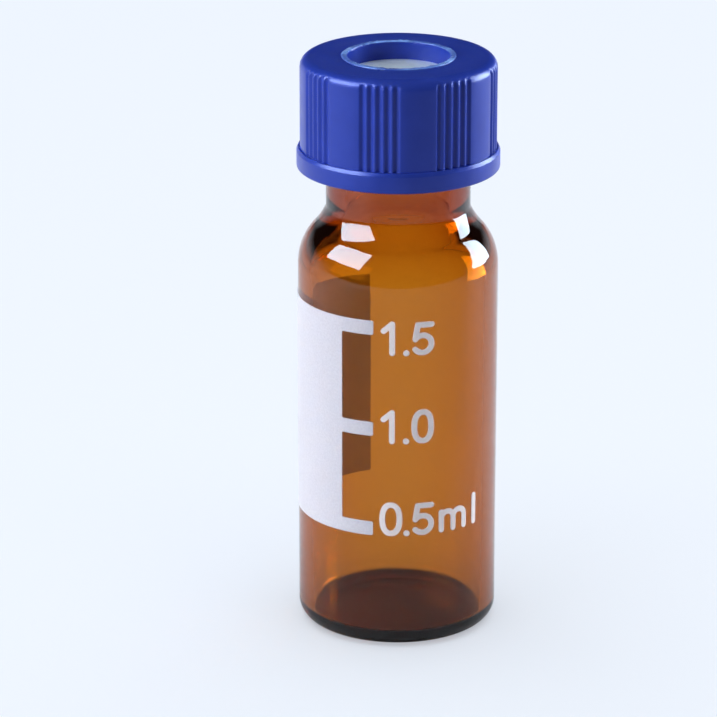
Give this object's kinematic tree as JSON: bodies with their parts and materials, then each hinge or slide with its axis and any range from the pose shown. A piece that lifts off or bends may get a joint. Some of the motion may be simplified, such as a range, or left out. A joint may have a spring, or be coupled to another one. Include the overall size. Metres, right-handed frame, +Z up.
{
  "type": "glass sample vial",
  "caption": "Small amber glass sample vial with a screw neck, a ribbed blue screw cap with a needle hole over a white septum, and a white marking patch with graduations.",
  "frame": {"origin": "centre of the base, on the surface that the vial stands on", "axes": "+Z up along the vial's axis, with the graduations on the -Y side"},
  "size_m": [0.0116, 0.0116, 0.0342],
  "materials": {
    "amber_glass": "clear amber glass",
    "white_enamel": "matt fired print",
    "white_silicone": "matt",
    "blue_plastic": "satin moulded"
  },
  "bodies": {
    "vial": {"glass_vial": "amber_glass", "marking_patch": "white_enamel"},
    "septum": {"septum": "white_silicone"},
    "cap": {"screw_cap": "blue_plastic"}
  },
  "joints": [
    {"name": "cap_lift", "type": "slide", "parent": "vial", "child": "septum", "axis": [0, 0, 1], "range_m": [0, 0.0054]},
    {"name": "cap_turn", "type": "hinge", "parent": "septum", "child": "cap", "pos_m": [0, 0, 0.0331], "axis": [0, 0, 1], "range_deg": [0, 1080]}
  ],
  "couplings": [
    {"joint": "cap_turn", "follows": "cap_lift", "rad_per_m": 3490.7}
  ]
}
